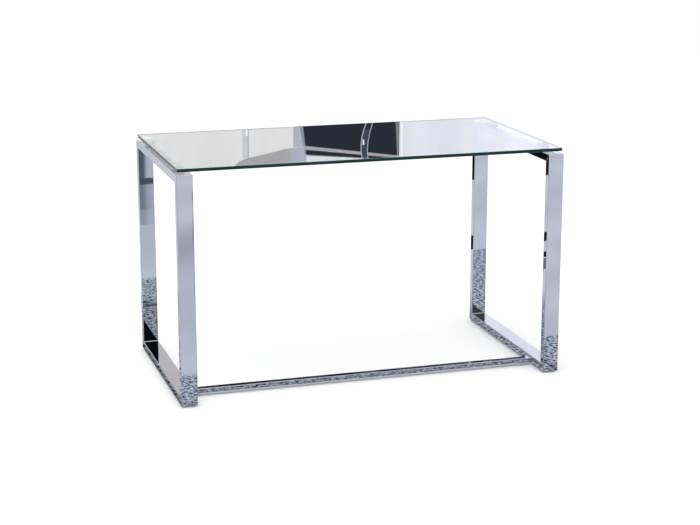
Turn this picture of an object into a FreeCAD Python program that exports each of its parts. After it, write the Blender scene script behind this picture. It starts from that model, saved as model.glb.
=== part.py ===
import FreeCAD, Part
import math
import os
import Sketcher

# Glass console table on two chromed end frames, as a parametric document.
#
# Millimetres, +Z up, +X along the length, -Y towards the front.  The origin is on the floor, at the
# middle of the table.  Each end frame is a closed loop of four mitred rectangular tubes.  A low
# stretcher ties the two loops together near the front, and the glass rests on four clear spacers.

SIZES = {
    # overall sizes
    "frame_length": 1220,        # X, over the outer sides of the end frames
    "frame_depth": 650,          # Y, over the outer faces of the legs
    "overall_height": 725,       # floor to the top of the glass
    # glass top
    "glass_thickness": 10,
    "glass_inset": 4,            # glass edge inside the frame's outline, all round
    "glass_corner_radius": 3,
    "glass_arris": 1,            # ground bevel on every long edge
    # tube of the end frames
    "tube_width": 50,            # X
    "tube_depth": 25,            # across the loop's own plane
    "tube_wall": 1.5,
    "tube_corner_radius": 2,
    # clear spacers between top rails and glass
    "spacer_diameter": 40,
    "spacer_height": 8,
    "spacer_edge": 0.8,
    "spacer_setback": 110,       # frame's front or rear face to the spacer's centre
    "stem_diameter": 8,
    "stem_clearance": 0.1,       # radial, in the rail's hole
    "barb_play": 0.2,            # between the rail's wall and the barb below it
    "barb_length": 6,
    "barb_grip": 0.8,            # how far the barb stands out under the wall
    "barb_tip_diameter": 4,
    # stretcher
    "stretcher_depth": 25,       # Y
    "stretcher_height": 15,      # Z
    "stretcher_wall": 1.5,
    "stretcher_corner_radius": 2,
    "stretcher_setback": 95,     # frame's front to the stretcher's front face
    "stretcher_lift": 4,         # above the underside of the bottom rails
    "stretcher_end_gap": 0.2,
    # spigots that carry the stretcher's ends, and their lock screws
    "spigot_length": 40,
    "spigot_clearance": 0.1,     # all round, inside the stretcher
    "screw_diameter": 5,
    "screw_thread_clearance": 0.05,
    "screw_hole_clearance": 0.25,
    "screw_reach": 7,            # thread length inside the spigot
    "screw_tip": 0.5,            # bevel at the thread's end
    "screw_head_diameter": 9.5,
    "screw_head_height": 2.8,
    "screw_head_flat_diameter": 4.8,
    "screw_shoulder_diameter": 8,
    "screw_shoulder_height": 1.7,
    "screw_socket_flats": 3,
    "screw_socket_reach": 2,     # how far the key goes into the head
    # levelling feet
    "foot_height": 5,            # floor to the underside of the bottom rails
    "foot_diameter": 26,
    "foot_rest_gap": 0.3,        # glide to rail when fully screwed in
    "foot_chamfer": 1,
    "foot_setback": 60,          # frame's front or rear face to the foot's centre
    "stud_diameter": 8,
    "stud_thread_clearance": 0.05,
    "stud_hole_clearance": 0.5,
    "stud_spare": 8,             # stud above its nut when fully screwed in
    "stud_flange_diameter": 18,
    "stud_flange_height": 1.5,
    "stud_floor_cover": 1.5,     # plastic under the stud's flange
    "stud_tip": 1,
    "nut_length": 30,            # X
    "nut_width": 20,             # Y
    "nut_height": 8,
}

CUT_MARGIN = 5                   # how far a cutting sketch runs past the metal

FRAME_TOP = "(Sizes.overall_height - Sizes.glass_thickness - Sizes.spacer_height)"
LEG_LENGTH = f"({FRAME_TOP} - Sizes.foot_height)"
RAIL_X = "((Sizes.frame_length - Sizes.tube_width) / 2)"
SPACER_Y = "(Sizes.frame_depth / 2 - Sizes.spacer_setback)"
FOOT_Y = "(Sizes.frame_depth / 2 - Sizes.foot_setback)"
STRETCHER_Y = "(Sizes.stretcher_setback + Sizes.stretcher_depth / 2 - Sizes.frame_depth / 2)"
STRETCHER_BOTTOM = "(Sizes.foot_height + Sizes.stretcher_lift)"
STRETCHER_LENGTH = "(Sizes.frame_length - 2 * Sizes.tube_width - 2 * Sizes.stretcher_end_gap)"
SCREW_X = "(Sizes.frame_length / 2 - Sizes.tube_width - Sizes.spigot_length / 2)"
NUT_BOTTOM = "(Sizes.foot_height + Sizes.tube_wall)"

SIDES = (("left", -1), ("right", 1))
ENDS = (("front", -1), ("rear", 1))

X_AXIS = FreeCAD.Vector(1, 0, 0)
Z_AXIS = FreeCAD.Vector(0, 0, 1)

doc = FreeCAD.newDocument("ConsoleTable")
sheet = doc.addObject("Spreadsheet::Sheet", "Sizes")
sub_parts = []


def fill_sheet():
    """Write every driving size into the sheet, one aliased cell each."""
    for row, (alias, size) in enumerate(SIZES.items(), start=1):
        sheet.set(f"A{row}", alias)
        sheet.set(f"B{row}", str(size))
        sheet.setAlias(f"B{row}", alias)
    doc.recompute()


def measure(expression):
    """The present value of an expression, for a sketch's first guess."""
    result = sheet.evalExpression(expression)
    return float(getattr(result, "Value", result))


def new_body(label):
    body = doc.addObject("PartDesign::Body", label)
    body.Label = label
    sub_parts.append(body)
    return body


def place(body, x="0", y="0", z="0", axis=Z_AXIS, angle=0):
    """Turn a body about one axis and bind its place to the sheet."""
    body.Placement.Rotation = FreeCAD.Rotation(axis, angle)
    body.setExpression("Placement.Base.x", x)
    body.setExpression("Placement.Base.y", y)
    body.setExpression("Placement.Base.z", z)


def new_sketch(body, name, role):
    """An empty sketch on one of the body's own origin planes."""
    plane = next(item for item in body.Origin.OriginFeatures if item.Role == role)
    sketch = body.newObject("Sketcher::SketchObject", f"{body.Name}_{name}")
    sketch.AttachmentSupport = [(plane, "")]
    sketch.MapMode = "FlatFace"
    return sketch


def bind(sketch, kind, places, expression):
    """Add one dimension to a sketch and bind it to an expression."""
    index = sketch.addConstraint(Sketcher.Constraint(kind, *places, measure(expression)))
    sketch.setExpression(f"Constraints[{index}]", expression)


def polygon(sketch, corners):
    """A closed outline whose corners are pairs of expressions."""
    first = sketch.GeometryCount
    points = [FreeCAD.Vector(measure(across), measure(up), 0) for across, up in corners]
    count = len(points)
    for index, point in enumerate(points):
        sketch.addGeometry(Part.LineSegment(point, points[(index + 1) % count]))
    for index in range(count):
        following = first + (index + 1) % count
        sketch.addConstraint(Sketcher.Constraint("Coincident", first + index, 2, following, 1))
    for index, (across, up) in enumerate(corners):
        bind(sketch, "DistanceX", (-1, 1, first + index, 1), across)
        bind(sketch, "DistanceY", (-1, 1, first + index, 1), up)


def rounded_rectangle(sketch, width, height, radius):
    """A rectangle about the sketch's origin with four equal round corners."""
    first = sketch.GeometryCount
    half_width = measure(width) / 2
    half_height = measure(height) / 2
    corner = measure(radius)
    across = half_width - corner
    up = half_height - corner
    lines = (
        ((-across, -half_height), (across, -half_height)),
        ((half_width, -up), (half_width, up)),
        ((across, half_height), (-across, half_height)),
        ((-half_width, up), (-half_width, -up)),
    )
    centres = ((across, -up), (across, up), (-across, up), (-across, -up))
    quarter = math.pi / 2
    for index, ((start, end), centre) in enumerate(zip(lines, centres)):
        sketch.addGeometry(Part.LineSegment(FreeCAD.Vector(*start, 0), FreeCAD.Vector(*end, 0)))
        round_end = Part.Circle(FreeCAD.Vector(*centre, 0), Z_AXIS, corner)
        sketch.addGeometry(Part.ArcOfCircle(round_end, (index - 1) * quarter, index * quarter))
    for index in range(8):
        following = first + (index + 1) % 8
        sketch.addConstraint(Sketcher.Constraint("Tangent", first + index, 2, following, 1))
    for index in (0, 4):
        sketch.addConstraint(Sketcher.Constraint("Horizontal", first + index))
        sketch.addConstraint(Sketcher.Constraint("Vertical", first + index + 2))
    for index in (3, 5, 7):
        sketch.addConstraint(Sketcher.Constraint("Equal", first + 1, first + index))
    sketch.addConstraint(Sketcher.Constraint("Symmetric", first + 1, 3, first + 5, 3, -1, 1))
    bind(sketch, "Radius", (first + 1,), radius)
    bind(sketch, "DistanceX", (first + 6, 1, first + 2, 1), width)
    bind(sketch, "DistanceY", (first, 1, first + 4, 1), height)


def circle(sketch, across, up, diameter):
    """A circle whose centre and diameter are expressions."""
    centre = FreeCAD.Vector(measure(across), measure(up), 0)
    index = sketch.addGeometry(Part.Circle(centre, Z_AXIS, measure(diameter) / 2))
    bind(sketch, "DistanceX", (-1, 1, index, 3), across)
    bind(sketch, "DistanceY", (-1, 1, index, 3), up)
    bind(sketch, "Diameter", (index,), diameter)


def pad(body, sketch, length, symmetric=False):
    feature = body.newObject("PartDesign::Pad", f"{sketch.Name}_pad")
    feature.Profile = sketch
    feature.SideType = "Symmetric" if symmetric else "One side"
    feature.setExpression("Length", length)
    doc.recompute()
    return feature


def pocket(body, sketch, length, symmetric=False, reverse=False):
    """Cut a sketch into the body, and refuse a cut that takes nothing away."""
    before = body.Shape.Volume
    feature = body.newObject("PartDesign::Pocket", f"{sketch.Name}_pocket")
    feature.Profile = sketch
    feature.SideType = "Symmetric" if symmetric else "One side"
    feature.Reversed = reverse
    feature.setExpression("Length", length)
    doc.recompute()
    if body.Shape.Volume >= before - 0.01:
        raise RuntimeError(f"{feature.Name} cut nothing")


def revolve(body, sketch):
    """Turn a profile once about the body's own upright axis."""
    feature = body.newObject("PartDesign::Revolution", f"{sketch.Name}_turn")
    feature.Profile = sketch
    feature.ReferenceAxis = (sketch, ["V_Axis"])
    feature.Angle = 360
    doc.recompute()


def chamfer_rims(body, base, size, heights):
    """Bevel the flat edge loops of a padded plate that lie at the given heights."""
    names = []
    for number, edge in enumerate(base.Shape.Edges, start=1):
        box = edge.BoundBox
        if box.ZLength < 0.001 and any(abs(box.ZMin - height) < 0.001 for height in heights):
            names.append(f"Edge{number}")
    feature = body.newObject("PartDesign::Chamfer", f"{body.Name}_arris")
    feature.Base = (base, names)
    feature.setExpression("Size", size)
    doc.recompute()


def mitred_tube(label, length):
    """A rectangular tube along local +Z, mitred at both ends, with its long side at local -Y."""
    body = new_body(label)
    section = new_sketch(body, "section", "XY_Plane")
    rounded_rectangle(section, "Sizes.tube_width", "Sizes.tube_depth", "Sizes.tube_corner_radius")
    rounded_rectangle(
        section,
        "Sizes.tube_width - 2 * Sizes.tube_wall",
        "Sizes.tube_depth - 2 * Sizes.tube_wall",
        "Sizes.tube_corner_radius - Sizes.tube_wall",
    )
    pad(body, section, length)
    far_side = f"Sizes.tube_depth / 2 + {CUT_MARGIN}"
    near_side = f"-Sizes.tube_depth / 2 - {CUT_MARGIN}"
    mitres = new_sketch(body, "mitres", "YZ_Plane")
    polygon(mitres, (
        (near_side, f"-{CUT_MARGIN}"),
        (far_side, f"-{CUT_MARGIN}"),
        (far_side, f"Sizes.tube_depth + {CUT_MARGIN}"),
    ))
    polygon(mitres, (
        (near_side, f"{length} + {CUT_MARGIN}"),
        (far_side, f"{length} - Sizes.tube_depth - {CUT_MARGIN}"),
        (far_side, f"{length} + {CUT_MARGIN}"),
    ))
    pocket(body, mitres, f"Sizes.tube_width + 2 * {CUT_MARGIN}", symmetric=True)
    return body


def pierce_outer_wall(body, name, distances, diameter):
    """Round holes through the wall at local -Y, at distances along the tube."""
    holes = new_sketch(body, name, "XZ_Plane")
    for distance in distances:
        circle(holes, "0", distance, diameter)
    pocket(body, holes, "Sizes.tube_depth", reverse=True)


def make_legs():
    for side, x_sign in SIDES:
        for end, y_sign in ENDS:
            body = mitred_tube(f"{side}_{end}_leg", LEG_LENGTH)
            half_turn = 0 if end == "front" else 180
            leg_y = f"{y_sign} * (Sizes.frame_depth - Sizes.tube_depth) / 2"
            place(body, f"{x_sign} * {RAIL_X}", leg_y, "Sizes.foot_height", Z_AXIS, half_turn)


def make_top_rails():
    stem_hole = "Sizes.stem_diameter + 2 * Sizes.stem_clearance"
    for side, x_sign in SIDES:
        body = mitred_tube(f"{side}_top_rail", "Sizes.frame_depth")
        distances = ("Sizes.spacer_setback", "Sizes.frame_depth - Sizes.spacer_setback")
        pierce_outer_wall(body, "stem_holes", distances, stem_hole)
        height = f"{FRAME_TOP} - Sizes.tube_depth / 2"
        place(body, f"{x_sign} * {RAIL_X}", "-Sizes.frame_depth / 2", height, X_AXIS, -90)


def make_bottom_rails():
    stud_hole = "Sizes.stud_diameter + 2 * Sizes.stud_hole_clearance"
    for side, x_sign in SIDES:
        body = mitred_tube(f"{side}_bottom_rail", "Sizes.frame_depth")
        distances = ("Sizes.foot_setback", "Sizes.frame_depth - Sizes.foot_setback")
        pierce_outer_wall(body, "stud_holes", distances, stud_hole)
        height = "Sizes.foot_height + Sizes.tube_depth / 2"
        place(body, f"{x_sign} * {RAIL_X}", "Sizes.frame_depth / 2", height, X_AXIS, 90)


def make_glass_top():
    body = new_body("glass_top")
    outline = new_sketch(body, "outline", "XY_Plane")
    rounded_rectangle(
        outline,
        "Sizes.frame_length - 2 * Sizes.glass_inset",
        "Sizes.frame_depth - 2 * Sizes.glass_inset",
        "Sizes.glass_corner_radius",
    )
    plate = pad(body, outline, "Sizes.glass_thickness")
    chamfer_rims(body, plate, "Sizes.glass_arris", (0, measure("Sizes.glass_thickness")))
    place(body, z="Sizes.overall_height - Sizes.glass_thickness")


def make_spacers():
    """Clear discs with a barbed stem that plugs into the top rail."""
    rim = "Sizes.spacer_diameter / 2"
    stem = "Sizes.stem_diameter / 2"
    barb_top = "-Sizes.tube_wall - Sizes.barb_play"
    for side, x_sign in SIDES:
        for end, y_sign in ENDS:
            body = new_body(f"{side}_{end}_spacer")
            profile = new_sketch(body, "profile", "XZ_Plane")
            polygon(profile, (
                ("0", "Sizes.spacer_height"),
                (f"{rim} - Sizes.spacer_edge", "Sizes.spacer_height"),
                (rim, "Sizes.spacer_height - Sizes.spacer_edge"),
                (rim, "Sizes.spacer_edge"),
                (f"{rim} - Sizes.spacer_edge", "0"),
                (stem, "0"),
                (stem, barb_top),
                (f"{stem} + Sizes.barb_grip", barb_top),
                ("Sizes.barb_tip_diameter / 2", f"{barb_top} - Sizes.barb_length"),
                ("0", f"{barb_top} - Sizes.barb_length"),
            ))
            revolve(body, profile)
            place(body, f"{x_sign} * {RAIL_X}", f"{y_sign} * {SPACER_Y}", FRAME_TOP)


def make_stretcher():
    body = new_body("stretcher")
    section = new_sketch(body, "section", "YZ_Plane")
    rounded_rectangle(
        section,
        "Sizes.stretcher_depth",
        "Sizes.stretcher_height",
        "Sizes.stretcher_corner_radius",
    )
    rounded_rectangle(
        section,
        "Sizes.stretcher_depth - 2 * Sizes.stretcher_wall",
        "Sizes.stretcher_height - 2 * Sizes.stretcher_wall",
        "Sizes.stretcher_corner_radius - Sizes.stretcher_wall",
    )
    pad(body, section, STRETCHER_LENGTH, symmetric=True)
    holes = new_sketch(body, "screw_holes", "XY_Plane")
    for _, x_sign in SIDES:
        hole = "Sizes.screw_diameter + 2 * Sizes.screw_hole_clearance"
        circle(holes, f"{x_sign} * {SCREW_X}", "0", hole)
    pocket(body, holes, "Sizes.stretcher_height")
    height = f"{STRETCHER_BOTTOM} + Sizes.stretcher_height / 2"
    place(body, y=STRETCHER_Y, z=height)


def make_spigots():
    """Solid blocks welded to the bottom rails' inner sides, inside the stretcher's ends."""
    lost = "2 * Sizes.stretcher_wall - 2 * Sizes.spigot_clearance"
    for side, x_sign in SIDES:
        body = new_body(f"{side}_spigot")
        section = new_sketch(body, "section", "YZ_Plane")
        rounded_rectangle(
            section,
            f"Sizes.stretcher_depth - {lost}",
            f"Sizes.stretcher_height - {lost}",
            "Sizes.stretcher_corner_radius - Sizes.stretcher_wall",
        )
        pad(body, section, "Sizes.spigot_length", symmetric=True)
        thread = new_sketch(body, "thread", "XY_Plane")
        circle(thread, "0", "0", "Sizes.screw_diameter + 2 * Sizes.screw_thread_clearance")
        pocket(body, thread, "2 * Sizes.stretcher_height", symmetric=True)
        height = f"{STRETCHER_BOTTOM} + Sizes.stretcher_height / 2"
        place(body, f"{x_sign} * {SCREW_X}", STRETCHER_Y, height)


def make_lock_screws():
    """Button head screws that come up through the stretcher into its spigots."""
    head = "Sizes.screw_head_diameter / 2"
    shank = "Sizes.screw_diameter / 2"
    tip = "Sizes.stretcher_wall + Sizes.screw_reach"
    corner = "Sizes.screw_socket_flats / sqrt(3)"
    for side, x_sign in SIDES:
        body = new_body(f"{side}_lock_screw")
        profile = new_sketch(body, "profile", "XZ_Plane")
        polygon(profile, (
            ("0", "-Sizes.screw_head_height"),
            ("Sizes.screw_head_flat_diameter / 2", "-Sizes.screw_head_height"),
            ("Sizes.screw_shoulder_diameter / 2", "-Sizes.screw_shoulder_height"),
            (head, "0"),
            (shank, "0"),
            (shank, f"{tip} - Sizes.screw_tip"),
            (f"{shank} - Sizes.screw_tip", tip),
            ("0", tip),
        ))
        revolve(body, profile)
        socket = new_sketch(body, "socket", "XY_Plane")
        socket.setExpression("AttachmentOffset.Base.z", "-Sizes.screw_head_height")
        polygon(socket, [
            (f"{corner} * cos({turn} deg)", f"{corner} * sin({turn} deg)")
            for turn in range(0, 360, 60)
        ])
        pocket(body, socket, "Sizes.screw_socket_reach", reverse=True)
        place(body, f"{x_sign} * {SCREW_X}", STRETCHER_Y, STRETCHER_BOTTOM)


def make_feet():
    """Weld nuts in the bottom rails, and the glides that screw into them from below."""
    bore = "Sizes.stud_diameter + 2 * Sizes.stud_thread_clearance"
    for side, x_sign in SIDES:
        for end, y_sign in ENDS:
            spot = (f"{x_sign} * {RAIL_X}", f"{y_sign} * {FOOT_Y}")
            make_foot_nut(f"{side}_{end}_foot_nut", spot, bore)
            make_foot_stud(f"{side}_{end}_foot_stud", spot)
            make_foot_glide(f"{side}_{end}_foot_glide", spot)


def make_foot_nut(label, spot, bore):
    body = new_body(label)
    outline = new_sketch(body, "outline", "XY_Plane")
    rounded_rectangle(outline, "Sizes.nut_length", "Sizes.nut_width", "Sizes.tube_corner_radius")
    circle(outline, "0", "0", bore)
    pad(body, outline, "Sizes.nut_height")
    place(body, *spot, NUT_BOTTOM)


def make_foot_stud(label, spot):
    flange = "Sizes.stud_flange_diameter / 2"
    shank = "Sizes.stud_diameter / 2"
    flange_top = "Sizes.stud_floor_cover + Sizes.stud_flange_height"
    tip = f"{NUT_BOTTOM} + Sizes.nut_height + Sizes.stud_spare"
    body = new_body(label)
    profile = new_sketch(body, "profile", "XZ_Plane")
    polygon(profile, (
        ("0", "Sizes.stud_floor_cover"),
        (flange, "Sizes.stud_floor_cover"),
        (flange, flange_top),
        (shank, flange_top),
        (shank, f"{tip} - Sizes.stud_tip"),
        (f"{shank} - Sizes.stud_tip", tip),
        ("0", tip),
    ))
    revolve(body, profile)
    place(body, *spot)


def make_foot_glide(label, spot):
    """A plastic disc moulded round the flange of its stud."""
    rim = "Sizes.foot_diameter / 2"
    flange = "Sizes.stud_flange_diameter / 2"
    shank = "Sizes.stud_diameter / 2"
    flange_top = "Sizes.stud_floor_cover + Sizes.stud_flange_height"
    top = "Sizes.foot_height - Sizes.foot_rest_gap"
    body = new_body(label)
    profile = new_sketch(body, "profile", "XZ_Plane")
    polygon(profile, (
        ("0", "0"),
        (f"{rim} - Sizes.foot_chamfer", "0"),
        (rim, "Sizes.foot_chamfer"),
        (rim, top),
        (shank, top),
        (shank, flange_top),
        (flange, flange_top),
        (flange, "Sizes.stud_floor_cover"),
        ("0", "Sizes.stud_floor_cover"),
    ))
    revolve(body, profile)
    place(body, *spot)


def check_document():
    """Stop before writing if any object failed or any sub-part isn't one valid solid."""
    for item in doc.Objects:
        if "Invalid" in item.State or "Error" in item.State:
            raise RuntimeError(f"{item.Name} failed: {item.State}")
    for body in sub_parts:
        if body.Shape.isNull() or not body.Shape.isValid():
            raise RuntimeError(f"{body.Label} has no valid shape")
        if len(body.Shape.Solids) != 1:
            raise RuntimeError(f"{body.Label} has {len(body.Shape.Solids)} solids")


def write_parts():
    os.makedirs("parts", exist_ok=True)
    for body in sub_parts:
        body.Shape.exportStep(f"parts/{body.Label}.step")


fill_sheet()
make_glass_top()
make_spacers()
make_top_rails()
make_legs()
make_bottom_rails()
make_stretcher()
make_spigots()
make_lock_screws()
make_feet()
doc.recompute()
check_document()
write_parts()
for part in sub_parts:
    low = part.Shape.BoundBox.ZMin
    high = part.Shape.BoundBox.ZMax
    print(f"{part.Label:26s} {part.Shape.Volume / 1000:9.2f} cm3  z {low:7.2f} to {high:7.2f}")
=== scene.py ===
# %% [markdown]
# # A glass table on two chromed loops
# The table is a pane of clear glass that rests on four clear discs over two loops of chromed
# tube.  The frame below brings the metal in at its real size.  This lesson adds what a maker
# would see and touch: the polished glass edge, the moulded discs, the threaded feet, and the
# finish of every surface.

# %% Load the frame
import math

import bpy
import numpy as np
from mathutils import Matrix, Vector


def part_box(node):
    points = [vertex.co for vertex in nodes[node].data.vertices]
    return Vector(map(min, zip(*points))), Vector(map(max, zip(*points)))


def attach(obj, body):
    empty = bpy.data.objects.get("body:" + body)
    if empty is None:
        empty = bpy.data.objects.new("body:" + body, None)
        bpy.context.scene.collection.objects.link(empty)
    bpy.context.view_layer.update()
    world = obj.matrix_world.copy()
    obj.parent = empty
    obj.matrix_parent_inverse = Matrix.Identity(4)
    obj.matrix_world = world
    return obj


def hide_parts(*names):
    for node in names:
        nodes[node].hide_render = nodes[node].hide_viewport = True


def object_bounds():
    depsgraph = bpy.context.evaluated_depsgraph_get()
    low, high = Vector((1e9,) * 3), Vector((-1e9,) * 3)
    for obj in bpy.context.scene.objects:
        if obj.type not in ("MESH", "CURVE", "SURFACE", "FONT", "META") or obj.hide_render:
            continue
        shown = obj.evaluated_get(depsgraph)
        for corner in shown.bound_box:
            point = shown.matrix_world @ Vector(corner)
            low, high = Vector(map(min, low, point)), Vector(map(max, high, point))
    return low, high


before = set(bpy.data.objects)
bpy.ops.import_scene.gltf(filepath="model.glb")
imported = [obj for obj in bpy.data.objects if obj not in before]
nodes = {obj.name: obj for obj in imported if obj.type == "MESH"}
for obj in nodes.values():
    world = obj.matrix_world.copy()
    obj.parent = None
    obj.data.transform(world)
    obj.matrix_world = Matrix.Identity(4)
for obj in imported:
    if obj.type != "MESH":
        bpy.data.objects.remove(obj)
cad_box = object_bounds()

MM = 0.001
SIDES = ("left", "right")
ENDS = ("front", "rear")
CORNERS = [f"{side}_{end}" for side in SIDES for end in ENDS]


def span(node):
    """Lowest and highest corner of a frame node, as two arrays in metres."""
    low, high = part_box(node)
    return np.array(low), np.array(high)


# %% [markdown]
# ## Camera
# A product picture of a table is taken from a little above its top and from far away, with a
# long lens, so that upright edges stay nearly parallel.  An aim point with an azimuth, an
# elevation and a distance is easier to think about than a position and three angles.

# %% Camera
LENS_MM = 86.15
AZIMUTH = math.radians(-17.18)
ELEVATION = math.radians(13.85)
DISTANCE = 5.408
AIM = np.array([0.0165, 0.0, 0.3269])


def add_camera():
    """Place the camera at AIM plus DISTANCE along the direction given by the two angles."""
    back = np.array([
        math.sin(AZIMUTH) * math.cos(ELEVATION),
        -math.cos(AZIMUTH) * math.cos(ELEVATION),
        math.sin(ELEVATION),
    ])
    camera = bpy.data.objects.new("camera", bpy.data.cameras.new("camera"))
    camera.data.lens = LENS_MM
    camera.data.sensor_width = 36
    camera.location = AIM + back * DISTANCE
    camera.rotation_euler = (math.pi / 2 - ELEVATION, 0, AZIMUTH)
    bpy.context.scene.collection.objects.link(camera)
    bpy.context.scene.camera = camera
    return camera


camera = add_camera()
print("camera at", [round(value, 3) for value in camera.location])

# %% [markdown]
# ## Turning arrays into meshes
# A turned or extruded piece is a grid of points: one direction goes round, the other goes along
# a profile.  Numpy works out all points at once, and the faces follow from the grid's indices.
# A round piece that ends on its axis needs one point there, so each end gets a fan of triangles.


# %% Mesh helpers
CORNER_STEPS = 8


def link_mesh(name, points, faces, material_numbers=None, sharp_angle=30):
    """Make a mesh object from points in metres, with edges sharper than the angle kept crisp.

    Large flat faces would look bulged where they meet small rounded ones, so each corner's
    normal is weighted by the area of the faces round it.
    """
    mesh = bpy.data.meshes.new(name)
    mesh.from_pydata(points.reshape(-1, 3).tolist(), [], faces)
    mesh.validate()
    if material_numbers is not None:
        mesh.polygons.foreach_set("material_index", material_numbers)
    mesh.polygons.foreach_set("use_smooth", [True] * len(mesh.polygons))
    mesh.set_sharp_from_angle(angle=math.radians(sharp_angle))
    piece = bpy.data.objects.new(name, mesh)
    piece.modifiers.new("weighted", "WEIGHTED_NORMAL").keep_sharp = True
    bpy.context.scene.collection.objects.link(piece)
    return piece


def ring_quads(rings, steps, closed=False):
    """Quads between neighbouring rings of `steps` points each, closed round each ring.

    With closed set, the last ring also joins the first one.
    """
    ring, step = np.meshgrid(np.arange(rings - 1 + closed), np.arange(steps), indexing="ij")
    next_ring = (ring + 1) % rings
    next_step = (step + 1) % steps
    quads = np.stack([
        ring * steps + step,
        ring * steps + next_step,
        next_ring * steps + next_step,
        next_ring * steps + step,
    ], axis=-1)
    return quads.reshape(-1, 4)


def outline(low, high, radius):
    """A rectangle with round corners: corner centre + radius (cos a, sin a), anticlockwise."""
    quarter = np.linspace(0, np.pi / 2, CORNER_STEPS + 1)
    corners = []
    for number, (x_side, y_side) in enumerate(((1, 1), (-1, 1), (-1, -1), (1, -1))):
        angles = quarter + number * np.pi / 2
        centre = np.where((x_side > 0, y_side > 0), high - radius, low + radius)
        corners.append(centre + radius * np.stack([np.cos(angles), np.sin(angles)], -1))
    return np.concatenate(corners)


def turned(name, radii, heights, centre, steps=64, wave=None):
    """A solid of revolution: point(ring, angle) = centre + (r cos angle, r sin angle, height).

    radii and heights list the profile from the lower pole to the upper pole, both of which lie
    on the axis.  wave(ring heights, angles) may add to the radius, as ribs or a thread do.
    """
    angles = np.arange(steps) * 2 * np.pi / steps
    ring_radii = np.repeat(radii[1:-1, None], steps, axis=1)
    if wave is not None:
        ring_radii = ring_radii + wave(heights[1:-1, None], angles[None, :])
    rings = np.stack([
        ring_radii * np.cos(angles),
        ring_radii * np.sin(angles),
        np.repeat(heights[1:-1, None], steps, axis=1),
    ], axis=-1)
    poles = np.array([[0, 0, heights[0]], [0, 0, heights[-1]]])
    points = np.concatenate([rings.reshape(-1, 3), poles]) + centre
    last = (len(radii) - 3) * steps
    low_pole = len(points) - 2
    around = np.arange(steps)
    following = (around + 1) % steps
    low_fan = np.stack([np.full(steps, low_pole), following, around], axis=-1)
    high_fan = np.stack([np.full(steps, low_pole + 1), last + around, last + following], axis=-1)
    faces = ring_quads(len(radii) - 2, steps).tolist() + low_fan.tolist() + high_fan.tolist()
    return link_mesh(name, points, faces)


def rounded_profile(corners, radius, steps=5):
    """Round every inner corner of a polyline with a short quadratic curve.

    The curve starts at a, the radius before the corner b, and ends at c, the radius after it:
    point(t) = (1 - t)^2 a + 2 t (1 - t) b + t^2 c.
    """
    corners = np.asarray(corners, float)
    t = np.linspace(0, 1, steps)[:, None]
    path = [corners[:1]]
    for before, corner, after in zip(corners[:-2], corners[1:-1], corners[2:]):
        length_before = np.linalg.norm(before - corner)
        length_after = np.linalg.norm(after - corner)
        reach = min(radius, length_before / 2, length_after / 2)
        start = corner + (before - corner) / length_before * reach
        end = corner + (after - corner) / length_after * reach
        path.append((1 - t) ** 2 * start + 2 * t * (1 - t) * corner + t ** 2 * end)
    path.append(corners[-1:])
    path = np.concatenate(path)
    return path[:, 0], path[:, 1]


# %% [markdown]
# ## Shared surface effects
# Polished things are never perfectly even: cloths leave faint streaks, plating has soft waves.
# These two effects are node groups, so that metal, glass and plastic can use them with their own
# strength.


# %% Node helpers
def new_group(name, inputs, outputs):
    """An empty shader node group with float inputs and outputs, and its two end nodes."""
    group = bpy.data.node_groups.new(name, "ShaderNodeTree")
    for label, default in inputs:
        socket = group.interface.new_socket(label, in_out="INPUT", socket_type="NodeSocketFloat")
        socket.default_value = default
    for label in outputs:
        group.interface.new_socket(label, in_out="OUTPUT", socket_type="NodeSocketFloat")
    return group, group.nodes.new("NodeGroupInput"), group.nodes.new("NodeGroupOutput")


def math_node(tree, operation, first, second=None, clamp=False):
    """A Math node; each operand is a number or a socket.  Returns the output socket."""
    node = tree.nodes.new("ShaderNodeMath")
    node.operation = operation
    node.use_clamp = clamp
    for socket, operand in zip(node.inputs, (first, second)):
        if isinstance(operand, bpy.types.NodeSocket):
            tree.links.new(operand, socket)
        elif operand is not None:
            socket.default_value = operand
    return node.outputs[0]


def product(tree, first, *others):
    """Several values multiplied with one another."""
    for other in others:
        first = math_node(tree, "MULTIPLY", first, other)
    return first


def times_plus(tree, value, factor, offset, clamp=False):
    """value x factor + offset, in one Math node."""
    result = math_node(tree, "MULTIPLY_ADD", value, factor, clamp)
    result.node.inputs[2].default_value = offset
    return result


def split_axes(tree, vector):
    """A vector's X, Y and Z, as a node's named outputs."""
    node = tree.nodes.new("ShaderNodeSeparateXYZ")
    tree.links.new(vector, node.inputs["Vector"])
    return node.outputs


def noise(tree, vector, scale, detail=2.0, roughness=0.5):
    """A Noise texture at a scale per metre, or at a scale that comes from a socket."""
    node = tree.nodes.new("ShaderNodeTexNoise")
    node.inputs["Detail"].default_value = detail
    node.inputs["Roughness"].default_value = roughness
    if isinstance(scale, bpy.types.NodeSocket):
        tree.links.new(scale, node.inputs["Scale"])
    else:
        node.inputs["Scale"].default_value = scale
    tree.links.new(vector, node.inputs["Vector"])
    return node.outputs["Fac"]


def stretched(tree, scale):
    """Object coordinates multiplied by a different number along each axis."""
    coordinates = tree.nodes.new("ShaderNodeTexCoord")
    mapping = tree.nodes.new("ShaderNodeMapping")
    mapping.inputs["Scale"].default_value = scale
    tree.links.new(coordinates.outputs["Object"], mapping.inputs["Vector"])
    return mapping.outputs["Vector"]


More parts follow.
